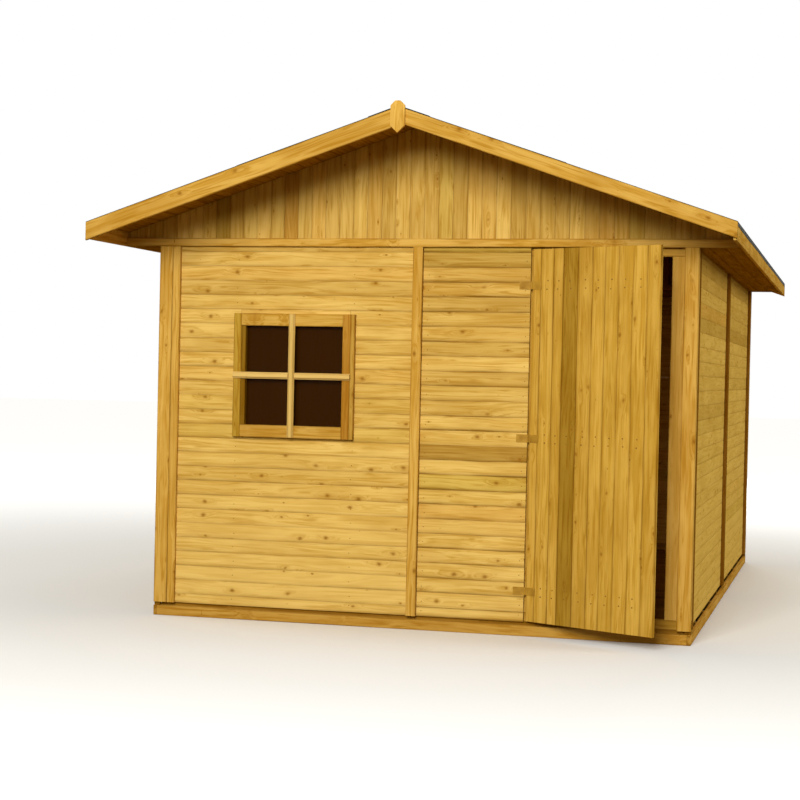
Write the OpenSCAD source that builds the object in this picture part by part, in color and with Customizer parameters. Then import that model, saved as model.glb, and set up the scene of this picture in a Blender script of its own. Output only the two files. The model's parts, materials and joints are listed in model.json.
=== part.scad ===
// Timber garden shed: a panel-built hut with one outward door, one window
// and a felted gable roof with deep front and back overhangs.
// Millimetres. The front wall faces -Y, +Z is up, and the origin is on the
// ground at the middle of the footprint.

/* [Building] */
// Width of the front wall over its corner boards
wall_w = 3000; // [2700:50:3600]
// Length of the side walls, front face to back face
wall_l = 4500; // [3700:50:5400]
// Height of the wall panels
wall_h = 2000; // [1950:10:2400]

/* [Base] */
// Height of the boards the shed stands on
base_h = 55; // [40:1:120]
// Thickness of the base boards
base_t = 20; // [16:1:40]
// Thickness of the floor deck
deck_floor_t = 18; // [15:1:28]
// How far the floor deck is set in from the wall faces
deck_inset = 34; // [20:1:35]
// Width of a floor joist
joist_w = 45; // [35:1:80]
// Largest distance between floor joists
joist_step = 500; // [350:10:650]

/* [Wall panels] */
// Thickness of the outer battens and corner boards
trim_t = 18; // [14:1:24]
// Thickness of the cladding boards
board_t = 18; // [15:1:24]
// Depth of the studs and rails behind the cladding
frame_d = 45; // [35:1:70]
// Width of a stud or of a top rail
stud_w = 45; // [35:1:60]
// Height of the bottom rails
sole_h = 50; // [40:1:70]
// Largest distance between studs
stud_step = 620; // [450:10:800]
// Gap left between two panels that meet
panel_gap = 2; // [1:0.5:5]
// Gap under a piece that rests on a slope, on the door leaf or on its bed
seat_gap = 0.3; // [0.1:0.1:0.8]
// How far the cladding and studs stop short of a wall's end
end_inset = 3; // [1:1:10]
// Recess between a side wall's end battens and the end walls
corner_recess = 12; // [0:1:25]
// Width of a plain batten at the edge of a panel
batten_w = 46; // [35:1:70]
// Width of a front corner board
corner_w = 76; // [60:1:110]

/* [Front wall] */
// Width of the panel that holds the window
window_panel_w = 1519; // [1480:1:1600]
// Width of the batten at that panel's right edge
split_batten_w = 54; // [40:1:70]

/* [Window] */
// Middle of the window from the left end of the front wall
window_s = 799; // [700:1:900]
// Height of the middle of the window above the ground
window_z = 1360; // [1200:1:1500]
// Outer width of the window frame
window_w = 697; // [600:1:760]
// Outer height of the window frame
window_h = 685; // [600:1:760]
// Width of the frame's face
window_face = 68; // [55:1:80]
// How far the frame stands out from the cladding
window_proud = 26; // [18:1:35]
// Width of the frame's lining behind its face
lining_w = 22; // [16:1:30]
// How far the frame's face laps over the edge of the pane's bed
glass_rebate = 11; // [6:1:16]
// How far the lining runs in past the cladding's outer face
lining_d = 50; // [40:1:60]
// How far the stop for the pane runs in past the cladding's outer face
pane_set = 16; // [10:1:24]
// Thickness of the pane
glass_t = 4; // [3:1:6]
// Gap round the window's lining and its pane
window_clear = 2; // [1:0.5:5]

/* [Door] */
// Width of the door leaf
door_w = 796; // [660:1:960]
// Gap at the leaf's free edge and at its foot
door_gap = 6; // [5:0.5:10]
// Gap over the leaf
door_top_gap = 10; // [6:1:20]
// Gap at the hinge edge, which holds the knuckles
hinge_edge_gap = 12; // [11:1:16]
// Clear distance between the back of the leaf and the frame
door_stop_gap = 5; // [5:1:8]
// How far the leaf laps over the posts
door_lap = 61; // [30:1:70]
// Angle at which the leaf stands open
door_open = 26; // [0:1:100]
// Height of a ledge on the back of the leaf
ledge_w = 100; // [70:1:140]
// Thickness of the ledges and braces
ledge_t = 18; // [15:1:24]
// Gap from the ledges to the posts
ledge_gap = 8; // [7:1:20]
// Height of the lowest hinge above the ground
hinge_low = 240; // [220:1:320]
// Height of the highest hinge above the ground
hinge_high = 1870; // [1700:1:1880]
// Length of a hinge plate along the door
hinge_plate_l = 60; // [45:1:65]
// Height of a hinge
hinge_plate_h = 42; // [36:1:60]
// Thickness of a hinge plate
hinge_plate_t = 2.5; // [2:0.1:2.5]
// Radius of a hinge knuckle
knuckle_r = 4.5; // [4:0.1:4.7]
// Radius of a hinge pin
pin_r = 2; // [1.5:0.1:2.5]
// Gap round the pin and between knuckles
knuckle_gap = 0.25; // [0.2:0.05:0.4]

/* [Roof] */
// How far the roof reaches past the side walls, without the fascia
eaves_out = 204; // [120:1:260]
// How far the roof reaches past the end walls, with the barge boards
gable_out = 509; // [250:1:600]
// Height from the top of the walls to the roof boards at the fascia
eaves_rise = 97; // [90:1:130]
// Height from there to the ridge of the roof boards
roof_rise = 583; // [400:1:900]
// Thickness of the roof boards
roof_t = 20; // [16:1:28]
// Thickness of the roofing felt
felt_t = 3; // [2:0.5:5]
// Width of each wing of the felt strip over the ridge
ridge_felt_w = 160; // [100:5:250]
// Thickness of the barge boards and fascias
barge_t = 20; // [16:1:28]
// Height of the barge boards left of the ridge, measured upright
barge_left_h = 98; // [80:1:110]
// Height of the barge boards right of the ridge, measured upright
barge_right_h = 82; // [80:1:110]
// Height of the rail along the foot of a gable
gable_rail_h = 45; // [35:1:60]
// Width of the ridge beam and purlins
beam_w = 45; // [35:1:70]
// Depth of the ridge beam at its sides
ridge_beam_d = 90; // [70:1:100]
// Depth of a purlin at its lower side
purlin_d = 60; // [50:1:65]
// Distance from the ridge to a purlin's middle
purlin_x = 850; // [600:1:1000]
// Thickness of the soffit boards
soffit_t = 18; // [12:1:22]

/* [Ridge end boards] */
// Width of the board that covers the joint of two barge boards
finial_w = 75; // [60:1:100]
// How far that board rises over the ridge
finial_up = 28; // [20:1:60]
// Length of that board
finial_l = 165; // [140:1:200]
// Thickness of that board
finial_t = 18; // [14:1:25]
// Size of its top bevels
finial_bevel = 24; // [8:1:28]
// Height of its pointed foot
finial_point = 36; // [12:1:40]

/* [Hidden] */
$fn = 48;
eps = 1;

wall_z = base_h + deck_floor_t;          // underside of the wall panels
top_z = wall_z + wall_h;                 // top of the wall panels
wall_t = trim_t + board_t + frame_d;     // whole thickness of a wall
frame_y = trim_t + board_t;              // depth of the frame's outer face
side_l = wall_l - 2 * wall_t;            // side wall between the end walls

// Roof lines, as heights at a distance x from the ridge
roof_x = wall_w / 2 + eaves_out;         // inner face of the fascias
roof_end_x = roof_x + barge_t;           // outer face of the fascias
ridge_h = top_z + eaves_rise + roof_rise;
slope = roof_rise / roof_x;
roof_drop = roof_t * sqrt(1 + slope * slope);
felt_rise = felt_t * sqrt(1 + slope * slope);
function roof_top(x) = ridge_h - slope * abs(x);
function roof_under(x) = roof_top(x) - roof_drop;
function beam_top(x) = roof_under(x) - seat_gap;
barge_y = wall_l / 2 + gable_out;        // outer face of the barge boards
deck_y = barge_y - barge_t;              // ends of the roof boards

// Door: s runs along the front wall from its left end, and depth runs in
// from the wall's outer face
leaf_s1 = wall_w - corner_w - door_gap;
leaf_s0 = leaf_s1 - door_w;
hinge_s = leaf_s0 - hinge_edge_gap / 2;
middle_s1 = hinge_s - hinge_edge_gap / 2;
leaf_z0 = wall_z + door_gap;
leaf_z1 = top_z - door_top_gap;
leaf_back = frame_y - door_stop_gap;
leaf_front = leaf_back - board_t;
hinge_y = leaf_front - hinge_plate_t - seat_gap;
ledge_y = leaf_back + seat_gap;
post_left_s = leaf_s0 + door_lap;        // right face of the left post
post_right_s = leaf_s1 - door_lap;       // left face of the right post
left_post_w = door_lap + hinge_edge_gap + stud_w;
hinge_zs = [hinge_low, (hinge_low + hinge_high) / 2, hinge_high];
ledge_s0 = post_left_s + ledge_gap;
ledge_s1 = post_right_s - ledge_gap;
plate_start = knuckle_r + 0.8;           // where a plate clears a knuckle

// Window
lining_open_w = window_w - 2 * window_face + 2 * glass_rebate;
lining_open_h = window_h - 2 * window_face + 2 * glass_rebate;
lining_out_w = lining_open_w + 2 * lining_w;
lining_out_h = lining_open_h + 2 * lining_w;
hole_w = lining_out_w + 2 * window_clear;
hole_h = lining_out_h + 2 * window_clear;

pine = "goldenrod";
pale_pine = "burlywood";
deep_pine = "peru";

// ---------------------------------------------------------------- helpers

// Box from one corner to the opposite one
module block(low, high) {
    translate(low) cube(high - low);
}

// Wall frames: x runs along the wall, y runs in from its outer face
module at_front() { translate([-wall_w / 2, -wall_l / 2, 0]) children(); }
module at_back() { rotate([0, 0, 180]) at_front() children(); }
module at_left() {
    translate([-wall_w / 2, side_l / 2, 0]) rotate([0, 0, -90]) children();
}
module at_right() { rotate([0, 0, 180]) at_left() children(); }

module both_sides() {
    at_left() children();
    at_right() children();
}

// The front and back ends of the roof
module both_ends() {
    children();
    rotate([0, 0, 180]) children();
}

// Prism of a drawing in X and Z, from y0 to y1
module along_y(y0, y1) {
    translate([0, y1, 0]) rotate([90, 0, 0]) linear_extrude(y1 - y0) children();
}

// Studs between two ends of a panel, both ends included
module studs(s0, s1) {
    bays = ceil((s1 - s0 - stud_w) / stud_step);
    step = (s1 - s0 - stud_w) / bays;
    for (i = [0 : bays])
        block([s0 + i * step, frame_y, wall_z + sole_h],
              [s0 + i * step + stud_w, wall_t, top_z - stud_w]);
}

// Bottom and top rails of a panel
module rails(s0, s1) {
    block([s0, frame_y, wall_z], [s1, wall_t, wall_z + sole_h]);
    block([s0, frame_y, top_z - stud_w], [s1, wall_t, top_z]);
}

// Cladding of a panel
module cladding(s0, s1) {
    block([s0, trim_t, wall_z], [s1, frame_y, top_z]);
}

module batten(s0, width) {
    block([s0, 0, wall_z], [s0 + width, trim_t, top_z]);
}

// ------------------------------------------------------------------- base

module base_boards() color(deep_pine) {
    x = wall_w / 2;
    y = wall_l / 2;
    for (side = [-1, 1]) {
        translate([side * (x - base_t / 2), 0, base_h / 2])
            cube([base_t, wall_l, base_h], center = true);
        translate([0, side * (y - base_t / 2), base_h / 2])
            cube([wall_w - 2 * base_t - 1, base_t, base_h], center = true);
    }
}

module floor_joists() color(deep_pine) {
    inner_w = wall_w - 2 * base_t - 1;
    run = wall_l - 2 * base_t - joist_w - 1;
    bays = ceil(run / joist_step);
    for (i = [0 : bays])
        translate([0, -run / 2 + i * run / bays, base_h / 2])
            cube([inner_w, joist_w, base_h], center = true);
}

module floor_deck() color(pale_pine)
    translate([0, 0, base_h + deck_floor_t / 2])
        cube([wall_w - 2 * deck_inset, wall_l - 2 * deck_inset, deck_floor_t],
             center = true);

// ------------------------------------------------------------- front wall

window_panel_s1 = window_panel_w - panel_gap / 2;
middle_panel_s0 = window_panel_w + panel_gap / 2;

module front_window_panel() color(pale_pine) at_front()
    difference() {
        cladding(end_inset, window_panel_s1);
        translate([window_s, frame_y / 2, window_z])
            cube([hole_w, 2 * frame_y, hole_h], center = true);
    }

module front_middle_panel() color(pale_pine) at_front()
    cladding(middle_panel_s0, middle_s1);

module front_wall_studs() color(deep_pine) at_front() {
    z0 = wall_z + sole_h;
    z1 = top_z - stud_w;
    left = window_s - hole_w / 2 - stud_w;
    right = window_s + hole_w / 2;
    for (s = [end_inset, left, right, window_panel_s1 - stud_w, middle_panel_s0])
        block([s, frame_y, z0], [s + stud_w, wall_t, z1]);
}

module front_wall_rails() color(deep_pine) at_front() {
    rails(end_inset, window_panel_s1);
    rails(middle_panel_s0, wall_w - end_inset);
    for (z = [window_z - hole_h / 2 - stud_w, window_z + hole_h / 2])
        block([window_s - hole_w / 2, frame_y, z],
              [window_s + hole_w / 2, wall_t, z + stud_w]);
}

module front_wall_battens() color(pine) at_front() {
    batten(0, corner_w);
    batten(corner_w + 1, batten_w);
    batten(window_panel_w - split_batten_w, split_batten_w);
    batten(wall_w - corner_w, corner_w);
}

module door_post_left() color(deep_pine) at_front()
    block([post_left_s - left_post_w, frame_y, wall_z + sole_h],
          [post_left_s, wall_t, top_z - stud_w]);

// The right post carries the corner board on a tongue beside the leaf
module door_post_right() color(pine) at_front() {
    block([post_right_s, frame_y, wall_z + sole_h],
          [wall_w - end_inset, wall_t, top_z - stud_w]);
    block([wall_w - corner_w, trim_t, wall_z + sole_h],
          [wall_w - end_inset, frame_y + eps, top_z - stud_w]);
}

// ----------------------------------------------------------------- window

// A frame of outer size w by h, with an opening of ow by oh
module ring(w, h, ow, oh, y0, y1) {
    along_y(y0, y1) difference() {
        square([w, h], center = true);
        square([ow, oh], center = true);
    }
}

module window_frame() color(pine) at_front() translate([window_s, 0, window_z]) {
    face_w = window_w - 2 * window_face;
    face_h = window_h - 2 * window_face;
    ring(window_w, window_h, face_w, face_h, trim_t - window_proud, trim_t);
    ring(lining_out_w, lining_out_h, face_w, face_h,
         trim_t - eps, trim_t + pane_set);
    ring(lining_out_w, lining_out_h, lining_open_w, lining_open_h,
         trim_t + pane_set - eps, trim_t + lining_d);
}

module window_glass() color("saddlebrown", 0.6) at_front()
    translate([window_s, trim_t + pane_set + seat_gap + glass_t / 2, window_z])
        cube([lining_open_w - 2 * window_clear, glass_t,
              lining_open_h - 2 * window_clear], center = true);

// ------------------------------------------------- side walls, back wall

// Two equal panels side by side in a wall of length l
module pair_of_panels(l, inset) {
    s0 = inset;
    s1 = l / 2 - panel_gap / 2;
    s2 = l / 2 + panel_gap / 2;
    s3 = l - inset;
    for (ends = [[s0, s1], [s2, s3]]) {
        $from = ends[0];
        $to = ends[1];
        children();
    }
}

module side_panel_boards()
    pair_of_panels(side_l, 0) cladding($from, $to);

module left_wall_panels() color(pale_pine) at_left() side_panel_boards();
module right_wall_panels() color(pale_pine) at_right() side_panel_boards();

module side_wall_studs() color(deep_pine) both_sides()
    pair_of_panels(side_l, 0) studs($from, $to);

module side_wall_rails() color(deep_pine) both_sides()
    pair_of_panels(side_l, 0) rails($from, $to);

side_gap = 14;    // open joint between the battens of two panels

module side_wall_battens() color(pine) both_sides() {
    middle = side_l / 2;
    for (s = [corner_recess, middle - side_gap / 2 - batten_w,
              middle + side_gap / 2, side_l - corner_recess - batten_w])
        batten(s, batten_w);
}

module back_wall_panels() color(pale_pine) at_back()
    pair_of_panels(wall_w, end_inset) cladding($from, $to);

module back_wall_studs() color(deep_pine) at_back()
    pair_of_panels(wall_w, end_inset) studs($from, $to);

module back_wall_rails() color(deep_pine) at_back()
    pair_of_panels(wall_w, end_inset) rails($from, $to);

module back_wall_battens() color(pine) at_back() {
    batten(0, corner_w);
    batten(wall_w / 2 - split_batten_w / 2, split_batten_w);
    batten(wall_w - corner_w, corner_w);
}

// ----------------------------------------------------------------- gables

module gable_outline()
    polygon([[-roof_x, top_z], [roof_x, top_z], [roof_x, beam_top(roof_x)],
             [0, beam_top(0)], [-roof_x, beam_top(roof_x)]]);

ridge_foot = beam_top(beam_w / 2) - ridge_beam_d;
purlin_foot = beam_top(purlin_x + beam_w / 2) - purlin_d;

module ridge_section() {
    h = beam_w / 2;
    polygon([[-h, ridge_foot], [h, ridge_foot], [h, beam_top(h)],
             [0, beam_top(0)], [-h, beam_top(h)]]);
}

module purlin_section() {
    x0 = purlin_x - beam_w / 2;
    x1 = purlin_x + beam_w / 2;
    polygon([[x0, purlin_foot], [x1, purlin_foot],
             [x1, beam_top(x1)], [x0, beam_top(x0)]]);
}

module gable_boards()
    along_y(-wall_l / 2 + trim_t, -wall_l / 2 + frame_y) gable_outline();

module gable_rail()
    block([-roof_x, -wall_l / 2, top_z],
          [roof_x, -wall_l / 2 + trim_t, top_z + gable_rail_h]);

module front_gable_boards() color(pine) gable_boards();
module front_gable_rail() color(deep_pine) gable_rail();
module back_gable_boards() color(pine) rotate([0, 0, 180]) gable_boards();
module back_gable_rail() color(deep_pine) rotate([0, 0, 180]) gable_rail();

plate_x1 = wall_w / 2 - frame_y;         // outer face of an eaves plate
plate_x0 = plate_x1 - stud_w;            // inner face of an eaves plate
plate_y = wall_l / 2 - frame_y;          // ends of the eaves plates

// Inner foot of each gable, lying on the end wall between the eaves plates
module gable_chords() color(deep_pine) both_ends()
    block([-plate_x0, -plate_y, top_z],
          [plate_x0, -plate_y + frame_d, top_z + stud_w]);

// Uprights inside each gable, which carry the ridge beam and the purlins
module gable_posts() color(deep_pine) both_ends() {
    foot = top_z + stud_w;
    y0 = -plate_y;
    y1 = y0 + frame_d;
    block([-beam_w / 2, y0, foot], [beam_w / 2, y1, ridge_foot - seat_gap]);
    for (x = [-purlin_x, purlin_x])
        block([x - beam_w / 2, y0, foot],
              [x + beam_w / 2, y1, purlin_foot - seat_gap]);
}

// ------------------------------------------------------------------- roof

// The beams lie on the gable posts and end behind the gable boards
module ridge_beam() color(deep_pine)
    along_y(-plate_y, plate_y) ridge_section();

module roof_purlins() color(deep_pine) along_y(-plate_y, plate_y) {
    purlin_section();
    mirror([1, 0]) purlin_section();
}

module eaves_plates() color(deep_pine)
    for (m = [0, 1]) mirror([m, 0, 0])
        along_y(-plate_y, plate_y)
            polygon([[plate_x0, top_z], [plate_x1, top_z],
                     [plate_x1, beam_top(plate_x1)],
                     [plate_x0, beam_top(plate_x0)]]);

// Right half of the roof boards
module half_roof_section()
    polygon([[0, roof_under(0)], [roof_x, roof_under(roof_x)],
             [roof_x, roof_top(roof_x)], [0, roof_top(0)]]);

module roof_deck_right() color(pale_pine)
    along_y(-deck_y, deck_y) half_roof_section();

module roof_deck_left() color(pale_pine)
    mirror([1, 0, 0]) along_y(-deck_y, deck_y) half_roof_section();

// Underside of the felt on the slopes, and of the strip over the ridge
function felt_under(x) = roof_top(x) + seat_gap;
function ridge_felt_under(x) = felt_under(x) + felt_rise + seat_gap;

// One sheet on each slope; they meet under the strip over the ridge
module roof_felt() color("dimgray")
    for (m = [0, 1]) mirror([m, 0, 0])
        along_y(-barge_y, barge_y)
            polygon([[seat_gap, felt_under(seat_gap)],
                     [roof_end_x, felt_under(roof_end_x)],
                     [roof_end_x, felt_under(roof_end_x) + felt_rise],
                     [seat_gap, felt_under(seat_gap) + felt_rise]]);

module ridge_felt() color("dimgray") {
    w = ridge_felt_w;
    along_y(-barge_y, barge_y)
        polygon([[-w, ridge_felt_under(w)], [0, ridge_felt_under(0)],
                 [w, ridge_felt_under(w)], [w, ridge_felt_under(w) + felt_rise],
                 [0, ridge_felt_under(0) + felt_rise],
                 [-w, ridge_felt_under(w) + felt_rise]]);
}

mitre_gap = 0.5;  // from the middle to a barge board's upper end

// One barge board, right of the ridge, at the front
module barge_board(height)
    along_y(-barge_y, -barge_y + barge_t)
        polygon([[mitre_gap, roof_top(mitre_gap) - height],
                 [roof_end_x, roof_top(roof_end_x) - height],
                 [roof_end_x, roof_top(roof_end_x)],
                 [mitre_gap, roof_top(mitre_gap)]]);

module barge_boards() {
    barge_board(barge_right_h);
    mirror([1, 0, 0]) barge_board(barge_left_h);
}

module front_barge_boards() color(pine) barge_boards();
module back_barge_boards() color(pine) rotate([0, 0, 180]) barge_boards();

module finial() {
    top = ridge_h + finial_up;
    foot = top - finial_l;
    h = finial_w / 2;
    along_y(-barge_y - finial_t, -barge_y)
        polygon([[0, foot], [h, foot + finial_point], [h, top - finial_bevel],
                 [h - finial_bevel, top], [-h + finial_bevel, top],
                 [-h, top - finial_bevel], [-h, foot + finial_point]]);
}

module front_finial() color(pine) finial();
module back_finial() color(pine) rotate([0, 0, 180]) finial();

module eaves_fascias() color(pine)
    for (m = [0, 1]) mirror([m, 0, 0])
        along_y(-deck_y, deck_y)
            polygon([[roof_x, top_z], [roof_end_x, top_z],
                     [roof_end_x, roof_top(roof_end_x)],
                     [roof_x, roof_top(roof_x)]]);

// Flat boards from the top of each side wall out to its fascia
module eaves_soffits() color(pale_pine)
    for (m = [0, 1]) mirror([m, 0, 0])
        block([plate_x1, -plate_y, top_z],
              [roof_x, plate_y, top_z + soffit_t]);

// ------------------------------------------------------------------- door

// Closed position to the standing-open one, about the hinge pins
module swung() {
    at_front() translate([hinge_s, hinge_y, 0]) rotate([0, 0, -door_open])
        translate([-hinge_s, -hinge_y, 0]) children();
}

module door_boards() color(pine) swung()
    block([leaf_s0, leaf_front, leaf_z0], [leaf_s1, leaf_back, leaf_z1]);

// A brace rises from the hinge side between two ledges
module brace(z0, z1) {
    foot = 110;
    run = ledge_s1 - ledge_s0 - foot;
    translate([ledge_s0, 0, 0]) along_y(ledge_y, ledge_y + ledge_t)
        polygon([[0, z0], [foot, z0], [run + foot, z1], [run, z1]]);
}

module door_ledges() color(deep_pine) swung() {
    for (z = hinge_zs)
        block([ledge_s0, ledge_y, z - ledge_w / 2],
              [ledge_s1, ledge_y + ledge_t, z + ledge_w / 2]);
    for (i = [0, 1])
        brace(hinge_zs[i] + ledge_w / 2 + 1, hinge_zs[i + 1] - ledge_w / 2 - 1);
}

knuckle_h = hinge_plate_h / 3;

// Fixed half: a plate on the cladding, two outer knuckles and the pin
module fixed_hinge(z) translate([hinge_s, hinge_y, z]) {
    plate_y = trim_t - hinge_y;
    block([-plate_start - hinge_plate_l, plate_y - hinge_plate_t, -hinge_plate_h / 2],
          [-plate_start + 1, plate_y, hinge_plate_h / 2]);
    for (side = [-1, 1]) translate([0, 0, side * knuckle_h]) {
        block([-plate_start, 0, -knuckle_h / 2], [-1, plate_y, knuckle_h / 2]);
        cylinder(r = knuckle_r, h = knuckle_h, center = true);
    }
    cylinder(r = pin_r, h = hinge_plate_h, center = true);
}

module door_hinge_plates() color("gold") at_front()
    for (z = hinge_zs) fixed_hinge(z);

// Moving half: a plate on the leaf and the middle knuckle
module leaf_hinge(z) translate([hinge_s, hinge_y, z]) {
    block([plate_start, 0, -hinge_plate_h / 2],
          [plate_start + hinge_plate_l, hinge_plate_t, hinge_plate_h / 2]);
    difference() {
        h = knuckle_h - 2 * knuckle_gap;
        union() {
            block([0, 0, -h / 2], [plate_start + 1, hinge_plate_t, h / 2]);
            cylinder(r = knuckle_r, h = h, center = true);
        }
        cylinder(r = pin_r + knuckle_gap, h = 2 * h, center = true);
    }
}

module door_hinges() color("gold") swung()
    for (z = hinge_zs) leaf_hinge(z);

// ------------------------------------------------------------------ nodes

base_boards();
floor_joists();
floor_deck();
front_window_panel();
front_middle_panel();
front_wall_studs();
front_wall_rails();
front_wall_battens();
door_post_left();
door_post_right();
window_frame();
window_glass();
left_wall_panels();
right_wall_panels();
side_wall_studs();
side_wall_rails();
side_wall_battens();
back_wall_panels();
back_wall_studs();
back_wall_rails();
back_wall_battens();
front_gable_boards();
front_gable_rail();
back_gable_boards();
back_gable_rail();
gable_chords();
gable_posts();
ridge_beam();
roof_purlins();
eaves_plates();
roof_deck_left();
roof_deck_right();
roof_felt();
ridge_felt();
front_barge_boards();
back_barge_boards();
front_finial();
back_finial();
eaves_fascias();
eaves_soffits();
door_hinge_plates();
door_boards();
door_ledges();
door_hinges();
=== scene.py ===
"""Timber garden shed: its boards, nails, felt and finish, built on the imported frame.

Lengths are metres. The front wall faces -Y and +Z is up, as in the frame.
"""
import json
import math
import random

import bmesh
import bpy
import numpy as np
from mathutils import Matrix, Vector


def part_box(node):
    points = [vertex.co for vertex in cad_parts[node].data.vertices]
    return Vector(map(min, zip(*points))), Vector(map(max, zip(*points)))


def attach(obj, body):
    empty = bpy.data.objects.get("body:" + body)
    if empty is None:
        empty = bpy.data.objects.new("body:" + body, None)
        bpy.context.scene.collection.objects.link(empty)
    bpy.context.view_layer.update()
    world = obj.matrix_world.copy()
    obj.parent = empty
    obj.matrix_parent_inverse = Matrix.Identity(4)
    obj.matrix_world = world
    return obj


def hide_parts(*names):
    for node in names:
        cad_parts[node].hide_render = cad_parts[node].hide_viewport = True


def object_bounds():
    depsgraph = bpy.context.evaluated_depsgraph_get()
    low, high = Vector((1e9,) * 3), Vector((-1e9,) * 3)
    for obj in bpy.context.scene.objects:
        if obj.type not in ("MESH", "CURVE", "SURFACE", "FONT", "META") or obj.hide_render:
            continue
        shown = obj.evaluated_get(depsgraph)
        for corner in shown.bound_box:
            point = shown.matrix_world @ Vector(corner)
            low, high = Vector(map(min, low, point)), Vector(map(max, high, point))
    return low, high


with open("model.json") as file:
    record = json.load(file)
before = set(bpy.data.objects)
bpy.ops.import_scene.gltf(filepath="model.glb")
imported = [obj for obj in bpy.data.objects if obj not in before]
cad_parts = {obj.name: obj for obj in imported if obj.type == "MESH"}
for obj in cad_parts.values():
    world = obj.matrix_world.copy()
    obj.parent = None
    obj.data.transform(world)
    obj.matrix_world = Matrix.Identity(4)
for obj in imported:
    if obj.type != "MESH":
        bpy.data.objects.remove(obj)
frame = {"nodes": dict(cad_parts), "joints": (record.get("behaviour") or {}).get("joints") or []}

CAD_BOX = [list(corner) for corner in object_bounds()]

X, Y, Z = Vector((1, 0, 0)), Vector((0, 1, 0)), Vector((0, 0, 1))

# ---- finish colours


def srgb(red, green, blue):
    """A screen colour from 0 to 255 as the linear colour that shaders take."""
    def linear(value):
        value /= 255
        return value / 12.92 if value <= 0.04045 else ((value + 0.055) / 1.055) ** 2.4
    return (linear(red), linear(green), linear(blue), 1.0)


HONEY_LIGHT = srgb(234, 196, 108)
HONEY = srgb(214, 170, 78)
HONEY_DEEP = srgb(180, 131, 38)
OLIVE_TINT = srgb(230, 233, 190)
ORANGE_TINT = srgb(250, 232, 206)
DARK_TINT = srgb(200, 190, 160)
KNOT_RING = srgb(166, 114, 34)
KNOT_CORE = srgb(130, 84, 16)
GROOVE = srgb(120, 78, 6)

# ---- reading the CAD nodes


def coordinates(mesh):
    """A mesh's vertices as an array."""
    points = np.zeros(len(mesh.vertices) * 3)
    mesh.vertices.foreach_get("co", points)
    return points.reshape(-1, 3)


def vertices(node):
    """A CAD node's vertices as an array."""
    return coordinates(frame["nodes"][node].data)


def solids(node, turn=None):
    """Lowest and highest corner of each separate solid in a node."""
    mesh = frame["nodes"][node].data
    points = vertices(node)
    keys = [tuple(row) for row in np.round(points, 5)]
    parent = {key: key for key in keys}

    def root(key):
        while parent[key] != key:
            parent[key] = parent[parent[key]]
            key = parent[key]
        return key

    for polygon in mesh.polygons:
        first = keys[polygon.vertices[0]]
        for index in polygon.vertices[1:]:
            parent[root(keys[index])] = root(first)
    groups = {}
    for key, point in zip(keys, points):
        place = turn @ Vector(point) if turn else Vector(point)
        groups.setdefault(root(key), []).append(place)
    boxes = []
    for group in groups.values():
        array = np.array(group)
        boxes.append((Vector(array.min(0)), Vector(array.max(0))))
    return sorted(boxes, key=lambda pair: tuple(round(c, 4) for c in (*pair[0], *pair[1])))


# The door stands open by the angle from its closed limit. Boards on it are
# made as if it were shut, then turned about the hinge pins.
hinge = frame["joints"][0]
HINGE_AT = Vector(hinge["pos_m"])
OPEN_ANGLE = math.radians(-hinge["range_deg"][0]) * hinge["axis"][2]
SWING = (Matrix.Translation(HINGE_AT) @ Matrix.Rotation(OPEN_ANGLE, 4, "Z")
         @ Matrix.Translation(-HINGE_AT))
SHUT = SWING.inverted()

# Roof lines
deck_points = vertices("roof_deck_right")
RIDGE_Z = deck_points[:, 2].max()
DECK_X = deck_points[:, 0].max()
EAVES_Z = deck_points[deck_points[:, 0] > DECK_X - 1e-4][:, 2].max()
SLOPE = (RIDGE_Z - EAVES_Z) / DECK_X
PITCH = math.atan(SLOPE)
DECK_Y = deck_points[:, 1].max()
ridge_points = deck_points[deck_points[:, 0] < 1e-4]
DECK_DROP = RIDGE_Z - ridge_points[:, 2].min()


def roof_top(x):
    """Height of the roof boards' upper face at a distance from the ridge."""
    return RIDGE_Z - SLOPE * abs(x)


# ---- board meshes


RIM_DARK = 0.7   # how dark the corners of a plain board are


def box_outline(width, depth, edge=0.002, rim=0.007):
    """A rectangle from (0, 0) with small rounded corners, and points near
    each corner where the darker rim fades out. Items are (across, out, rim)."""
    edge = min(edge, width / 4, depth / 4)
    nick = edge * 0.3
    near_w = min(rim, width / 3)
    near_d = min(rim, depth / 3)
    dark = RIM_DARK
    return [
        (nick, nick, dark), (edge, 0, dark), (near_w, 0, 0),
        (width - near_w, 0, 0), (width - edge, 0, dark), (width - nick, nick, dark),
        (width, edge, dark), (width, near_d, 0),
        (width, depth - near_d, 0), (width, depth - edge, dark),
        (width - nick, depth - nick, dark), (width - edge, depth, dark),
        (width - near_w, depth, 0), (near_w, depth, 0), (edge, depth, dark),
        (nick, depth - nick, dark), (0, depth - edge, dark), (0, depth - near_d, 0),
        (0, near_d, 0), (0, edge, dark),
    ]


# How a face falls away to its edge: shares of the run, the drop and the rim
EASE = (0.6, 0.14, 0.2), (0.25, 0.42, 0.6), (0.0, 1.0, 1.0)
FLAT_EDGE = 0.005     # where the face is flat again, beyond the run
TONGUE_STEP = 0.003   # from the edge of the face back to the tongue


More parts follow.
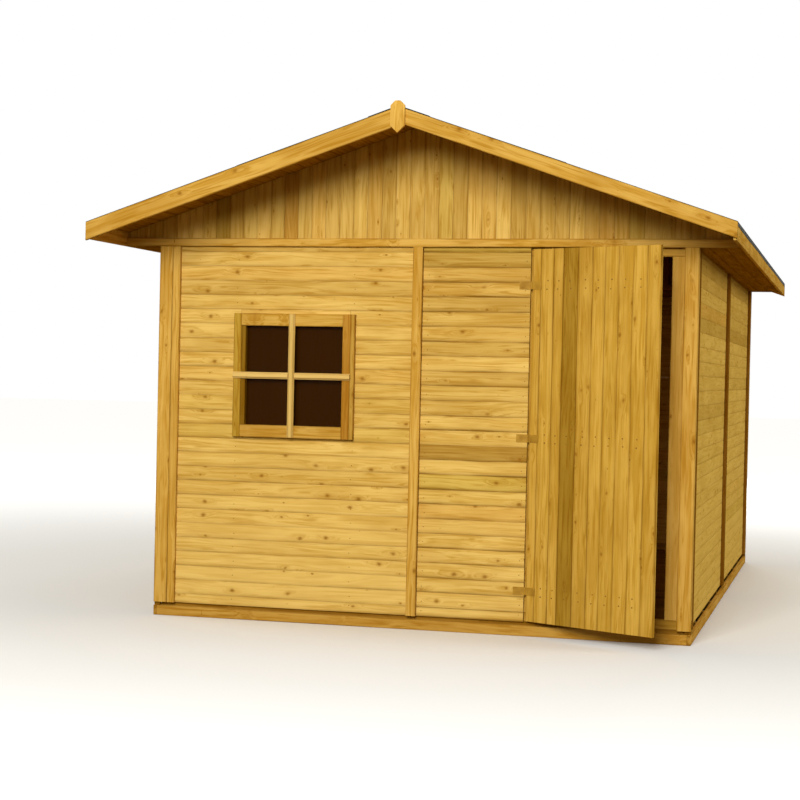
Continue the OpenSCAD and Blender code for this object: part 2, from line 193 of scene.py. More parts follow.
def matched_outline(width, depth, gap, low=(0.002, 0.007), high=(0.002, 0.007), dark=1.0,
                    peak=None):
    """A tongued cladding board. Its back part meets its neighbours. Its face
    falls away towards each edge: low and high are the (drop, run) of the
    first and the last edge. peak adds a point across the board."""

    def eased(drop, run):
        """Points from the middle of the face to the edge: (inset, out, rim)."""
        curve = [(run * a + gap, depth - drop * b, c * dark) for a, b, c in EASE]
        foot = depth - drop - TONGUE_STEP
        return [(run + gap + FLAT_EDGE, depth, 0)] + curve + [(gap, foot, dark), (0, foot, dark)]

    rise = [(width - inset, out, rim) for inset, out, rim in eased(*high)[::-1]]
    fall = eased(*low)
    outline = [(0, 0, 0), (width, 0, 0)] + rise + fall
    if peak is not None:
        outline.insert(1, (peak, 0, 0))
        outline.insert(outline.index(fall[0]), (peak, depth, 0))
    return outline


END_EDGE = 0.0015   # how much the ends of a board are eased
RING_STEP = 0.3     # between the rings of points along a board that wanders


class Timber:
    """Boards gathered into one mesh. Each has its own grain and tone."""

    def __init__(self, name, node_names, body, slot, seed, tone=0.0, knots=1.0):
        self.name = name
        self.node_names = node_names
        self.body = body
        self.slot = slot
        self.tone = tone
        self.knots = knots
        self.chance = random.Random(seed)
        self.points, self.faces = [], []
        self.grain, self.tones, self.rims = [], [], []

    def wander(self, length, reach):
        """A slow random curve along a board, as a function of the distance."""
        waves = [(self.chance.uniform(0.4, 1.0), self.chance.uniform(0.7, 2.2),
                  self.chance.uniform(0, math.tau)) for _ in range(3)]
        total = sum(wave[0] for wave in waves)
        return lambda t: reach * sum(
            a * math.sin(f * math.tau * t / max(length, 0.8) + p) for a, f, p in waves) / total

    def board(self, start, along, across, outline, length, tone=None, hue=None,
              foot_cut=0.0, head_cut=0.0, reach=0.0, knots=1.0):
        """Extrudes an outline from start. Out of the face is along x across.
        A cut is how much further an end runs for each metre across, and a
        head cut may be a function of the distance across instead."""
        out = along.cross(across)
        tone = self.chance.gauss(0, 0.35) if tone is None else tone
        hue = self.chance.gauss(0, 0.3) if hue is None else hue
        offset = Vector((self.chance.uniform(0, 50), self.chance.uniform(0, 50),
                         self.chance.uniform(0, 50)))
        count = max(1, round(length / RING_STEP)) if reach else 1
        places = [length * i / count for i in range(count + 1)]
        bow, lift = self.wander(length, reach), self.wander(length, reach)
        low_v = min(p[0] for p in outline) + END_EDGE
        high_v = max(p[0] for p in outline) - END_EDGE
        low_w = min(p[1] for p in outline) + END_EDGE
        high_w = max(p[1] for p in outline) - END_EDGE
        rings = [(0.0, True)] + [(t, False) for t in places[1:-1]] + [(length, True)]
        rings.insert(1, (END_EDGE, False))
        rings.insert(-1, (length - END_EDGE, False))
        base = len(self.points)
        size = len(outline)
        for t, is_end in rings:
            share = t / length
            for v, w, rim in outline:
                if is_end:
                    v = min(max(v, low_v), high_v)
                    w = min(max(w, low_w), high_w)
                head = head_cut(v) if callable(head_cut) else head_cut * v
                run = t + foot_cut * v * (1 - share) + head * share
                self.points.append(start + along * run + across * (v + bow(t) * 0.4)
                                   + out * (w + lift(t)))
                self.grain.append(offset + Vector((run, v, w)))
                self.tones.append((self.tone + tone, hue, self.knots * knots))
                self.rims.append(1.0 if is_end else rim)
        for i in range(len(rings) - 1):
            for j in range(size):
                a = base + i * size + j
                b = base + i * size + (j + 1) % size
                self.faces.append((a, b, b + size, a + size))
        last = base + (len(rings) - 1) * size
        self.faces.append(tuple(range(base + size - 1, base - 1, -1)))
        self.faces.append(tuple(range(last, last + size)))

    def block(self, low, high, grain_axis, edge=0.002, **looks):
        """A plain board that fills a box, with its grain along an axis."""
        size = high - low
        axes = [X, Y, Z]
        along = axes[grain_axis]
        across = axes[(grain_axis + 1) % 3]
        outline = box_outline(size[(grain_axis + 1) % 3], size[(grain_axis + 2) % 3], edge)
        self.board(low, along, across, outline, size[grain_axis], **looks)

    def finish(self, material, turn=None):
        """Makes the object, which stands for its CAD nodes."""
        mesh = bpy.data.meshes.new(self.name)
        mesh.from_pydata([tuple(p) for p in self.points], [], self.faces)
        set_looks(mesh, self.grain, self.tones, self.rims)
        if turn:
            mesh.transform(turn)
        smooth_by_angle(mesh)
        mesh.materials.append(material)
        add_piece(self.name, mesh, self.body, self.node_names)


def set_looks(mesh, grain, tones, rims):
    """Stores each point's place in the grain, its tone and its dark rim."""
    for title, kind, field, values in (("grain", "FLOAT_VECTOR", "vector", grain),
                                       ("tone", "FLOAT_VECTOR", "vector", tones),
                                       ("rim", "FLOAT", "value", rims)):
        layer = mesh.attributes.new(title, kind, "POINT")
        layer.data.foreach_set(field, np.array(values, dtype=np.float32).ravel())


def add_object(name, data):
    """A new object in the scene."""
    thing = bpy.data.objects.new(name, data)
    bpy.context.scene.collection.objects.link(thing)
    return thing


def add_piece(name, mesh, body, nodes=()):
    """A piece that rides on a body and stands for some CAD nodes."""
    thing = add_object(name, mesh)
    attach(thing, body)
    if nodes:
        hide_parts(*nodes)


def smooth_by_angle(mesh, degrees=32):
    """Smooth faces between sharp edges, and no point past the CAD box."""
    mesh.vertices.foreach_set("co", np.clip(coordinates(mesh), *CAD_BOX).ravel())
    mesh.polygons.foreach_set("use_smooth", [True] * len(mesh.polygons))
    mesh.set_sharp_from_angle(angle=math.radians(degrees))
    mesh.update()


# ---- materials


class Nodes:
    """Short ways to add nodes to a tree."""

    def __init__(self, tree):
        self.tree = tree

    def link(self, source, target):
        """Links a socket to an input, or sets the input to a plain value."""
        if isinstance(source, bpy.types.NodeSocket):
            self.tree.links.new(source, target)
        else:
            target.default_value = source

    def new(self, kind, values=(), **settings):
        """A node with its settings, and the values of its first inputs."""
        node = self.tree.nodes.new("ShaderNode" + kind)
        for key, setting in settings.items():
            setattr(node, key, setting)
        for socket, value in zip(node.inputs, values):
            self.link(value, socket)
        return node

    def add(self, kind, settings=None, **inputs):
        """The first output of a node whose inputs are given by name."""
        node = self.new(kind, **(settings or {}))
        for key, value in inputs.items():
            self.link(value, node.inputs[key.replace("_", " ")])
        return node.outputs[0]

    def math(self, operation, *values):
        return self.new("Math", values, operation=operation).outputs[0]

    def vector_math(self, operation, *values, out="Vector"):
        return self.new("VectorMath", values, operation=operation).outputs[out]

    def parts(self, vector):
        """The three components of a vector."""
        return self.new("SeparateXYZ", [vector]).outputs

    def ramp(self, value, low, high, out_low=0.0, out_high=1.0):
        """Smoothly maps low..high to out_low..out_high."""
        return self.add("MapRange", {"interpolation_type": "SMOOTHSTEP"}, Value=value,
                        From_Min=low, From_Max=high, To_Min=out_low, To_Max=out_high)

    def mix(self, factor, first, second, blend="MIX"):
        node = self.new("Mix", data_type="RGBA", blend_type=blend)
        for index, value in ((0, factor), (6, first), (7, second)):
            self.link(value, node.inputs[index])
        return node.outputs[2]

    def attribute(self, name, out):
        return self.new("Attribute", attribute_name=name).outputs[out]

    def place(self):
        """Coordinates in the object, for what has no grain of its own."""
        return self.new("TexCoord").outputs["Object"]

    def scaled(self, vector, factors):
        return self.vector_math("MULTIPLY", vector, factors)

    def noise(self, vector, factors, detail=2.0, roughness=0.5):
        return self.add("TexNoise", Vector=self.scaled(vector, factors), Scale=1.0,
                        Detail=detail, Roughness=roughness)


class Material(Nodes):
    """The nodes of a new material."""

    def __init__(self, name):
        self.material = bpy.data.materials.new(name)
        self.material.use_nodes = True
        super().__init__(self.material.node_tree)

    def shade(self, **inputs):
        """Sets or links inputs of the shader, and returns the material."""
        shader = self.tree.nodes["Principled BSDF"]
        for key, value in inputs.items():
            self.link(value, shader.inputs[key.replace("_", " ")])
        return self.material


KNOT_CELLS = 9.0      # cells to the metre that may each hold a knot
CELL_SQUEEZE = 0.66   # the cells are longer along the grain than across it
KNOT_SIZE = 0.013     # reach of the largest knot from its middle
KNOT_LEAST = 0.0004   # reach of a knot too small to show
GROOVE_SHARE = 0.8    # how much of GROOVE the edge of a board takes


def knots(n, grain, strength):
    """How deep a point lies in the core, the ring and the halo of a knot.
    Each cell of a face holds one knot of its own size, or none."""
    flat = n.scaled(grain, (CELL_SQUEEZE, 1, 0))
    cells = n.new("TexVoronoi", voronoi_dimensions="2D")
    borders = n.new("TexVoronoi", voronoi_dimensions="2D", feature="DISTANCE_TO_EDGE")
    for node in (cells, borders):
        n.link(flat, node.inputs["Vector"])
        n.link(KNOT_CELLS, node.inputs["Scale"])
    chance = n.parts(cells.outputs["Color"])[0]
    away = n.vector_math("SUBTRACT", flat, cells.outputs["Position"])

    def reach(factors):
        return n.vector_math("LENGTH", n.scaled(away, factors), out="Value")

    uneven = n.math("MULTIPLY", n.noise(grain, (45, 80, 80)), 0.012)
    round_reach = n.math("ADD", reach((1.1, 1, 0)), n.math("SUBTRACT", uneven, 0.006))
    size = n.math("MULTIPLY", n.ramp(chance, 0.35, 1.0, 0.0, KNOT_SIZE), strength)
    size = n.math("MAXIMUM", size, KNOT_LEAST)
    near = n.math("DIVIDE", round_reach, size)
    near_halo = n.math("DIVIDE", reach((0.4, 1, 0)), size)
    layers = n.ramp(near, 1.0, 0.2), n.ramp(near, 1.7, 0.6), n.ramp(near_halo, 3.0, 0.5)
    inside = n.ramp(borders.outputs["Distance"], 0.0, 0.3)
    return [n.math("MULTIPLY", layer, inside) for layer in layers]


def figure(n, grain, halo):
    """Wavy bands that bend round the knots, broad ones and fine ones."""
    warp = n.math("MULTIPLY", n.noise(grain, (1.0, 9, 9)), 3.4)
    bend = n.math("ADD", warp, n.math("MULTIPLY", halo, 0.7))
    along, across, out = n.parts(n.scaled(grain, (0.9, 26, 26)))
    bent = [along, n.math("ADD", across, bend), n.math("ADD", out, bend)]
    bands = n.new("CombineXYZ", bent).outputs[0]
    broad = n.add("TexNoise", Vector=bands, Scale=1.7, Detail=3.0, Roughness=0.62)
    flame = n.add("TexNoise", Vector=bands, Scale=3.4, Detail=2.0, Roughness=0.5)
    return n.ramp(broad, 0.4, 0.62), n.ramp(flame, 0.5, 0.72)


def wood(name, light, middle, deep, contrast=1.0):
    """Stained softwood: flame figure, fibres, knots, and darker board edges."""
    n = Material(name)
    grain = n.attribute("grain", "Vector")
    tone, hue, knot_strength = n.parts(n.attribute("tone", "Vector"))
    core, ring, halo = knots(n, grain, knot_strength)
    broad, flame = figure(n, grain, halo)
    streak = n.ramp(n.noise(grain, (2.4, 200, 200), detail=3.0, roughness=0.6), 0.36, 0.74)
    fibre = n.noise(grain, (30, 1300, 1300))
    cloud = n.ramp(n.noise(grain, (2.3, 5, 5), detail=3.0, roughness=0.6), 0.38, 0.68)

    colour = n.mix(n.math("MULTIPLY", broad, 0.9 * contrast), light, middle)
    for layer, share in ((cloud, 0.42 * contrast), (flame, 0.55 * contrast),
                         (streak, 0.26 * contrast), (halo, 0.3)):
        colour = n.mix(n.math("MULTIPLY", layer, share), colour, deep)
    colour = n.mix(n.ramp(hue, 0.1, 1.1), colour, OLIVE_TINT, "MULTIPLY")
    colour = n.mix(n.ramp(hue, -0.1, -1.1), colour, ORANGE_TINT, "MULTIPLY")
    colour = n.mix(n.ramp(tone, 0.0, 1.6, 0.0, 0.8), colour, light)
    for upper in (0.0, -1.6):
        colour = n.mix(n.ramp(tone, upper, upper - 1.6), colour, DARK_TINT, "MULTIPLY")
    colour = n.mix(n.math("MULTIPLY", ring, 0.5), colour, KNOT_RING)
    colour = n.mix(n.math("MULTIPLY", core, 0.6), colour, KNOT_CORE)
    worn = n.ramp(n.noise(grain, (3.2, 9, 9)), 0.36, 0.62, 0.25, 1.0)
    groove = n.math("MULTIPLY", n.math("MULTIPLY", n.attribute("rim", "Fac"), worn), GROOVE_SHARE)
    colour = n.mix(groove, colour, GROOVE)

    rough = n.math("ADD", 0.6, n.math("MULTIPLY", streak, 0.15))
    height = n.math("ADD", n.math("MULTIPLY", streak, 0.5), n.math("MULTIPLY", fibre, 0.4))
    bump = n.add("Bump", Strength=0.1, Distance=0.0004, Height=n.math("SUBTRACT", height, core))
    return n.shade(Base_Color=colour, Roughness=rough, Specular_IOR_Level=0.0, Normal=bump)


def felt_material():
    """Bitumen felt: dark mineral granules, with paler worn patches."""
    n = Material("mineral_felt")
    place = n.place()
    grit = n.add("TexVoronoi", Vector=place, Scale=420.0)
    fine = n.noise(place, (160, 160, 160), detail=4.0, roughness=0.7)
    patch = n.ramp(n.noise(place, (1.4, 0.9, 1.4), detail=4.0, roughness=0.6), 0.35, 0.7)
    colour = n.mix(n.ramp(fine, 0.35, 0.7), srgb(42, 42, 40), srgb(80, 80, 76))
    colour = n.mix(n.math("MULTIPLY", patch, 0.35), colour, srgb(98, 100, 96))
    colour = n.mix(n.ramp(grit, 0.0, 0.9, 0.35, 0.0), colour, srgb(24, 25, 26))
    bump = n.add("Bump", Strength=0.5, Distance=0.0012, Height=n.math("ADD", grit, fine))
    return n.shade(Base_Color=colour, Roughness=0.93, Specular_IOR_Level=0.1, Normal=bump)


def zinc_material(name, bright, dull):
    """Passivated zinc on small hardware, with rubbed and dulled areas."""
    n = Material(name)
    place = n.place()
    dulled = n.ramp(n.noise(place, (22, 22, 22)), 0.3, 0.75)
    rough = n.math("ADD", 0.55, n.math("MULTIPLY", dulled, 0.15))
    bump = n.add("Bump", Strength=0.05, Distance=0.0002, Height=n.noise(place, (300, 200, 40)))
    return n.shade(Base_Color=n.mix(dulled, bright, dull), Roughness=rough,
                   Specular_IOR_Level=0.15, Normal=bump)


def glass_material():
    """A pane whose brown colour is painted shade, standing in for the dim room behind it. It lets
    little through, and has a trace of dust.
    """
    n = Material("window_pane")
    dust = n.ramp(n.noise(n.place(), (5, 5, 5), detail=5.0), 0.45, 0.8)
    rough = n.math("ADD", 0.03, n.math("MULTIPLY", dust, 0.05))
    return n.shade(Base_Color=n.mix(dust, srgb(71, 38, 1), srgb(74, 41, 3)), Roughness=rough,
                   Transmission_Weight=0.55, IOR=1.1)


CLADDING = wood("cladding_pine", HONEY_LIGHT, HONEY, HONEY_DEEP, contrast=0.82)
SIDE = wood("side_pine", srgb(232, 192, 94), srgb(216, 172, 72), srgb(186, 136, 36), contrast=0.45)
BAR = wood("bar_pine", srgb(226, 190, 112), srgb(214, 174, 92), srgb(192, 146, 62), contrast=0.6)
TRIM = wood("trim_pine", srgb(222, 178, 88), srgb(204, 154, 60), srgb(174, 122, 30))
DOOR = wood("door_pine", srgb(216, 172, 76), srgb(200, 154, 56), srgb(168, 121, 28))
FRAME = wood("frame_pine", srgb(206, 160, 70), srgb(184, 138, 48), srgb(150, 104, 28))
# The roof pine is darker than the rest: painted shade for the undersides of the roof boards and
# soffits under the overhangs
ROOF = wood("roof_pine", srgb(186, 138, 46), srgb(162, 114, 30), srgb(132, 88, 16))
FELT = felt_material()
ZINC = zinc_material("yellow_zinc", srgb(180, 136, 44), srgb(152, 110, 30))
NAIL = zinc_material("nail_zinc", srgb(146, 104, 36), srgb(106, 72, 20))
GLASS = glass_material()

# ---- plain timbers


def longest(low, high):
    size = high - low
    return max(range(3), key=lambda i: size[i])


def plain(name, material, slot, seed, tone=0.0, **looks):
    """Every solid of a CAD node as a planed board with eased edges."""
    timber = Timber(name + "_timber", [name], "building", slot, seed, tone)
    for low, high in solids(name):
        timber.block(low, high, longest(low, high), **looks)
    timber.finish(material)


def framing():
    """Studs, rails, joists and other pieces that stay behind the cladding."""
    for seed, name in enumerate(("floor_joists", "front_wall_studs", "front_wall_rails",
                                 "side_wall_studs", "side_wall_rails", "back_wall_studs",
                                 "back_wall_rails", "gable_chords", "gable_posts",
                                 "door_post_left")):
        plain(name, FRAME, "frame_timber", 100 + seed, reach=0.0004)
    # Tone and hue of the trims. The side walls' battens are darkened as painted shade, so that the
    # joints of the side walls read dark
    looks = {"base_boards": (-0.8, -0.5), "front_wall_battens": (-0.3, -0.2),
             "side_wall_battens": (-2.2, -0.6), "back_wall_battens": (0.0, 0.0),
             "front_gable_rail": (0.0, -0.1), "back_gable_rail": (0.0, -0.1)}
    for seed, (name, (tone, hue)) in enumerate(looks.items()):
        plain(name, TRIM, "trim", 200 + seed, tone, reach=0.0006, hue=hue)


framing()

# ---- cladding

ROW = 0.08           # cover of one cladding board
FIRST_JOINT = 0.125  # height of the lowest joint above the ground
DARK_ROW = 0.965     # height of the darkest board of the middle panel
DARK_ROW_TONE = 0.9  # how much darker that board is than the others
PAINTED_LIGHT_BY_HEIGHT = 0.65     # painted light and shade: how much paler each board is for a metre further down, standing in for the overhang's shade near the top and the ground's light near the foot
LEAST_ROW = 0.004    # a board narrower than this joins its neighbour
LEAST_DROP = 0.0014  # how far the edges of an unshaded board fall away
SHADE_DROP = 0.0024  # and how much more those of the most shaded one do
LOW_RUN, HIGH_RUN = 0.02, 0.01   # over which its lower and its upper edge do so


def rows(z0, z1):
    """Heights between which each horizontal board lies."""
    joints = [z0]
    z = FIRST_JOINT
    while z < z1 - LEAST_ROW:
        if z > z0 + LEAST_ROW:
            joints.append(z)
        z += ROW
    joints.append(z1)
    return list(zip(joints[:-1], joints[1:]))


def panel_rows(timber, low, high, along, dark, spread, hole=None):
    """Clads one panel with horizontal boards. along is the direction in
    which a board runs, with the outer face on its right-hand side."""
    axis = 0 if abs(along.x) > 0.5 else 1
    depth = (high - low)[1 - axis]
    # Out of the face is along x up, so the start is on the inner face
    inner = Vector((low.x if along.cross(Z).x > -0.5 else high.x,
                    low.y if along.cross(Z).y > -0.5 else high.y, 0))
    inner[axis] = low[axis] if along[axis] > 0 else high[axis]
    length = high[axis] - low[axis]

    def lay(z0, z1, t0, t1, looks, shade):
        gap = timber.chance.uniform(0.0002, 0.0007)
        drop = LEAST_DROP + SHADE_DROP * shade
        outline = matched_outline(z1 - z0, depth, gap, (drop, LOW_RUN), (LEAST_DROP, HIGH_RUN),
                                  shade)
        timber.board(inner + along * t0 + Z * z0, along, Z, outline, t1 - t0, reach=0.0007,
                     **looks)

    for z0, z1 in rows(low.z, high.z):
        # Painted light and shade: boards are paler further down and darker near the top of a wall
        paler = PAINTED_LIGHT_BY_HEIGHT * (1.1 - z0)
        if z0 < DARK_ROW < z1 and along == X and not hole:
            paler -= DARK_ROW_TONE
        looks = {"tone": timber.chance.gauss(paler, spread),
                 "hue": timber.chance.gauss(0.0, spread)}
        shade = dark * timber.chance.uniform(0.35, 1.0)
        if not hole or z1 <= hole[2] or z0 >= hole[3]:
            lay(z0, z1, 0, length, looks, shade)
            continue
        lay(z0, z1, 0, hole[0], looks, shade)
        lay(z0, z1, hole[1], length, looks, shade)
        if z0 < hole[2] - LEAST_ROW:
            lay(z0, hole[2], hole[0], hole[1], looks, shade)
        if z1 > hole[3] + LEAST_ROW:
            lay(hole[3], z1, hole[0], hole[1], looks, shade)


def window_hole():
    """The hole in the window panel: its run along the panel, and heights."""
    low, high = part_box("front_window_panel")
    points = vertices("front_window_panel")
    inside = points[(points[:, 0] > low.x + 0.01) & (points[:, 0] < high.x - 0.01)]
    x0, x1 = inside[:, 0].min(), inside[:, 0].max()
    return (x0 - low.x, x1 - low.x, inside[:, 2].min(), inside[:, 2].max())


def cladding():
    # Name, run, seed, tone, darkness of the joints, spread of the tones, knots, wood
    walls = [("front_window_panel", X, 11, 0.2, 0.65, 0.25, 0.9, CLADDING),
             ("front_middle_panel", X, 12, -0.25, 1.25, 0.3, 0.9, CLADDING),
             ("left_wall_panels", -Y, 13, -0.1, 0.25, 0.2, 0.55, SIDE),
             ("right_wall_panels", Y, 14, -0.1, 0.25, 0.2, 0.55, SIDE),
             ("back_wall_panels", -X, 15, 0.1, 0.7, 0.3, 0.8, CLADDING)]
    for name, along, seed, tone, dark, spread, knots, material in walls:
        timber = Timber(name + "_boards", [name], "building", "cladding", seed, tone, knots)
        hole = window_hole() if name == "front_window_panel" else None
        for low, high in (solids(name) if hole is None else [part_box(name)]):
            panel_rows(timber, low, high, along, dark, spread, hole)
        timber.finish(material)


cladding()

# ---- gables

GABLE_BOARD = 0.0795  # cover of one gable board
GABLE_JOINT = -0.018  # a joint near the ridge, counted across the boards
GABLE_EDGE = (0.0014, 0.009)   # drop and run of a gable board's edges
LEAST_GABLE_BOARD = 0.01


def gable(name, side, seed):
    """Vertical boards cut to the slope. side is -1 at the front, 1 behind."""
    low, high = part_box(name)
    timber = Timber(name + "_set", [name], "building", "cladding", seed, -0.7, 0.45)
    # Out of the face is up x across, so the start lies on the inner face
    across = X * side
    y = high.y if side < 0 else low.y
    count = math.ceil(high.x / GABLE_BOARD)

    def head(v):
        """Length of a board at a distance from the ridge."""
        return high.z - low.z - SLOPE * abs(v)

    for i in range(-count, count + 1):
        v0 = max(GABLE_JOINT + i * GABLE_BOARD, -high.x)
        v1 = min(GABLE_JOINT + (i + 1) * GABLE_BOARD, high.x)
        if v1 - v0 < LEAST_GABLE_BOARD:
            continue
        gap = timber.chance.uniform(0.0002, 0.001)
        peak = -v0 if v0 < 0 < v1 else None
        outline = matched_outline(v1 - v0, high.y - low.y, gap, GABLE_EDGE, GABLE_EDGE,
                                  timber.chance.uniform(0.15, 0.7), peak)
        timber.board(Vector((0, y, low.z)) + across * v0, Z, across, outline, head(v0),
                     reach=0.0005, head_cut=lambda v, v0=v0: head(v0 + v) - head(v0),
                     tone=timber.chance.gauss(0, 0.3), hue=timber.chance.gauss(0.0, 0.3))
    timber.finish(CLADDING)


gable("front_gable_boards", -1, 21)
gable("back_gable_boards", 1, 22)

# ---- door

# Share of the width, tone and hue of each board, from the hinge edge
DOOR_LOOKS = [(0.064, 0.1, -0.3), (0.108, 0.2, 0.1), (0.075, 0.3, -0.1), (0.12, -1.1, 0.6),
              (0.113, -0.4, 0.0), (0.098, 0.2, -0.1), (0.107, 0.1, 0.3), (0.108, 0.2, -0.1),
              (0.107, 0.1, 0.2), (0.1, -0.4, 0.1)]
LEDGE_MOST = 0.2      # ledges are lower than this, and braces higher
BRACE_FOOT = 0.11     # level width of a brace
DOOR_EDGE = (0.002, 0.011)     # drop and run of a door board's edges


def door_board_edges():
    """Where each board of the closed leaf starts and ends along x."""
    low, high = solids("door_boards", SHUT)[0]
    shares = [look[0] for look in DOOR_LOOKS]
    edges = [low.x + (high.x - low.x) * sum(shares[:i]) / sum(shares)
             for i in range(len(shares) + 1)]
    return list(zip(edges, edges[1:]))


def door_leaf():
    low, high = solids("door_boards", SHUT)[0]
    timber = Timber("door_leaf_boards", ["door_boards"], "door", "door_timber", 31, 0.0, 0.75)
    for (x0, x1), (_, tone, hue) in zip(door_board_edges(), DOOR_LOOKS):
        gap = timber.chance.choice((0.0002, 0.0003, 0.0006, 0.001))
        outline = matched_outline(x1 - x0, high.y - low.y, gap, DOOR_EDGE, DOOR_EDGE,
                                  dark=0.65 + 500 * gap)
        timber.board(Vector((x1, high.y, low.z)), Z, -X, outline, high.z - low.z, tone=tone,
                     hue=hue, reach=0.0004)
    timber.finish(DOOR, SWING)


def door_ledges():
    timber = Timber("door_ledge_timber", ["door_ledges"], "door", "frame_timber", 32)
    for low, high in solids("door_ledges", SHUT):
        if high.z - low.z < LEDGE_MOST:
            timber.block(low, high, 0)
            continue
        # A brace: a parallelogram between two ledges, its ends cut level
        run = high.x - low.x - BRACE_FOOT
        rise = high.z - low.z
        long = math.hypot(run, rise)
        along = Vector((run, 0, rise)) / long
        across = Vector((rise, 0, -run)) / long
        outline = box_outline(BRACE_FOOT * rise / long, high.y - low.y)
        cut = run / rise
        timber.board(low, along, across, outline, long, foot_cut=cut, head_cut=cut)
    timber.finish(FRAME, SWING)


door_leaf()
door_ledges()


def right_post():
    """The post beside the free edge, with the tongue under the corner board."""
    points = vertices("door_post_right")
    low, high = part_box("door_post_right")
    step_y = points[points[:, 0] < low.x + 1e-4][:, 1].min()
    step_x = points[points[:, 1] < low.y + 1e-4][:, 0].min()
    timber = Timber("door_post_right_timber", ["door_post_right"], "building",
                    "frame_timber", 33, 0.3)
    timber.block(Vector((low.x, step_y, low.z)), high, 2, hue=0.3, tone=0.3)
    timber.block(Vector((step_x, low.y, low.z)), Vector((high.x, step_y, high.z)), 2,
                 hue=0.2, tone=0.3)
    timber.finish(TRIM)


right_post()

# ---- window

REBATE = 0.011       # how far the lining is cut back round the glass
PANE_CLEAR = 0.002   # between the glass and its rebate
LINING = 0.022       # thickness of the lining beside the rebate
STRIP_BACK = 0.007   # how far the strips beside the panes are set back
LEFT_STRIP = 0.044   # width of the outer strip of the left stile
RIGHT_STRIP = 0.024  # and of the right one
BAR_WIDTH = 0.036
BAR_THICK = 0.015
BAR_SHIFT = 0.009    # how far the upright bar lies left of the middle
BAR_INSET = 0.002    # of its ends from the ends of the stiles
CROSS_INSETS = (0.001, 0.02)   # of the level bar's ends, left and right


def bar_outline(width, thick):
    """A glazing bar: square at the back, with a sloped shoulder each side."""
    step, shoulder = thick * 0.42, width * 0.24
    half = [(0, 0, 0), (0, step, 0.5), (width * 0.06, step, 0.3), (shoulder, thick - 0.001, 0.3),
            (shoulder + 0.001, thick, 0)]
    return [(width - v, w, r) for v, w, r in half] + half[::-1]


def window_timbers():
    """Frame members, the lining behind them, and the two cross bars."""
    low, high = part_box("window_frame")
    pane_low, pane_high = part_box("window_glass")
    wall_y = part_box("front_window_panel")[0].y
    middle = (low + high) / 2
    inset = REBATE - PANE_CLEAR
    open_low = pane_low + Vector((inset, 0, inset))
    open_high = pane_high - Vector((inset, 0, inset))
    timber = Timber("window_frame_timber", ["window_frame"], "building", "trim", 41)

    def member(x0, x1, z0, z1, y0, y1, axis, **looks):
        timber.block(Vector((x0, y0, z0)), Vector((x1, y1, z1)), axis, **looks)

    # Each stile shows two strips, the one beside the panes set a little back
    y0, y1 = low.y, wall_y
    back = y0 + STRIP_BACK
    left = low.x + LEFT_STRIP
    right = high.x - RIGHT_STRIP
    member(low.x, left, low.z, high.z, y0, y1, 2, tone=-0.5, hue=0.9)
    member(left, open_low.x, open_low.z, open_high.z, back, y1, 2, tone=-2.4, hue=0.9)
    member(right, high.x, low.z, high.z, y0, y1, 2, tone=-0.8, hue=0.4)
    member(open_high.x, right, low.z, high.z, y0, y1, 2, tone=-0.9, hue=-0.9, knots=1.4)
    member(left, open_high.x, low.z, open_low.z, y0, y1, 0, tone=-0.6, hue=-0.2)
    member(left, open_high.x, open_high.z, high.z, y0, y1, 0, tone=-0.35, hue=0.35)
    # The stop against the glass, then the rebated lining behind it
    edge = REBATE + LINING
    for grow, y0, y1 in ((0, wall_y, pane_low.y), (REBATE, pane_low.y, high.y)):
        x0, x1 = open_low.x - grow, open_high.x + grow
        z0, z1 = open_low.z - grow, open_high.z + grow
        member(open_low.x - edge, x0, open_low.z - edge, open_high.z + edge, y0, y1, 2,
               tone=-2.6, hue=0.9)
        member(x1, open_high.x + edge, open_low.z - edge, open_high.z + edge, y0, y1, 2)
        member(x0, x1, open_low.z - edge, z0, y0, y1, 0)
        member(x0, x1, z1, open_high.z + edge, y0, y1, 0)
    timber.finish(TRIM)

    bars = Timber("window_bars", [], "building", "trim", 42)
    outline = bar_outline(BAR_WIDTH, BAR_THICK)
    half = BAR_WIDTH / 2
    x = middle.x - BAR_SHIFT
    # Z x -X and X x Z both point out of the wall
    bars.board(Vector((x + half, low.y, low.z + BAR_INSET)), Z, -X, outline,
               high.z - low.z - 2 * BAR_INSET, tone=-0.3, hue=0.3, knots=0)
    for x0, x1, hue in ((low.x + CROSS_INSETS[0], x - half, 0.1),
                        (x + half, high.x - CROSS_INSETS[1], 0.0)):
        bars.board(Vector((x0, low.y, middle.z - half)), X, Z, outline, x1 - x0, tone=0.9,
                   hue=hue, knots=0)
    bars.finish(BAR)


window_timbers()

# ---- roof


def sloping_frame(side):
    """Down-slope and outward directions on the slope at side 1 or -1."""
    down = Vector((side * math.cos(PITCH), 0, -math.sin(PITCH)))
    out = Vector((side * math.sin(PITCH), 0, math.cos(PITCH)))
    return down, out


ROOF_BOARD = 0.1          # about the width of a roof board
TOP_BOARD_SHORT = 0.007   # how much narrower the top one is


def roof_boards():
    """Boards along the ridge on each slope, seen under the overhangs."""
    length = DECK_X / math.cos(PITCH)
    count = round(length / ROOF_BOARD)
    width = length / count
    thick = DECK_DROP * math.cos(PITCH)
    for side, name, seed in ((1, "roof_deck_right", 51), (-1, "roof_deck_left", 52)):
        timber = Timber(name + "_boards", [name], "building", "roof_timber", seed)
        down, _ = sloping_frame(side)
        for i in range(count):
            # The eased face is the lower one, and the top board stops short
            # of its twin, which leans the other way
            short = TOP_BOARD_SHORT if i == 0 else 0.0
            outline = matched_outline(width - short, thick, 0.0004)
            start = Vector((0, 0, RIDGE_Z)) + down * (i * width + short) - Y * side * DECK_Y
            timber.board(start, Y * side, down, outline, 2 * DECK_Y)
        timber.finish(ROOF)


roof_boards()


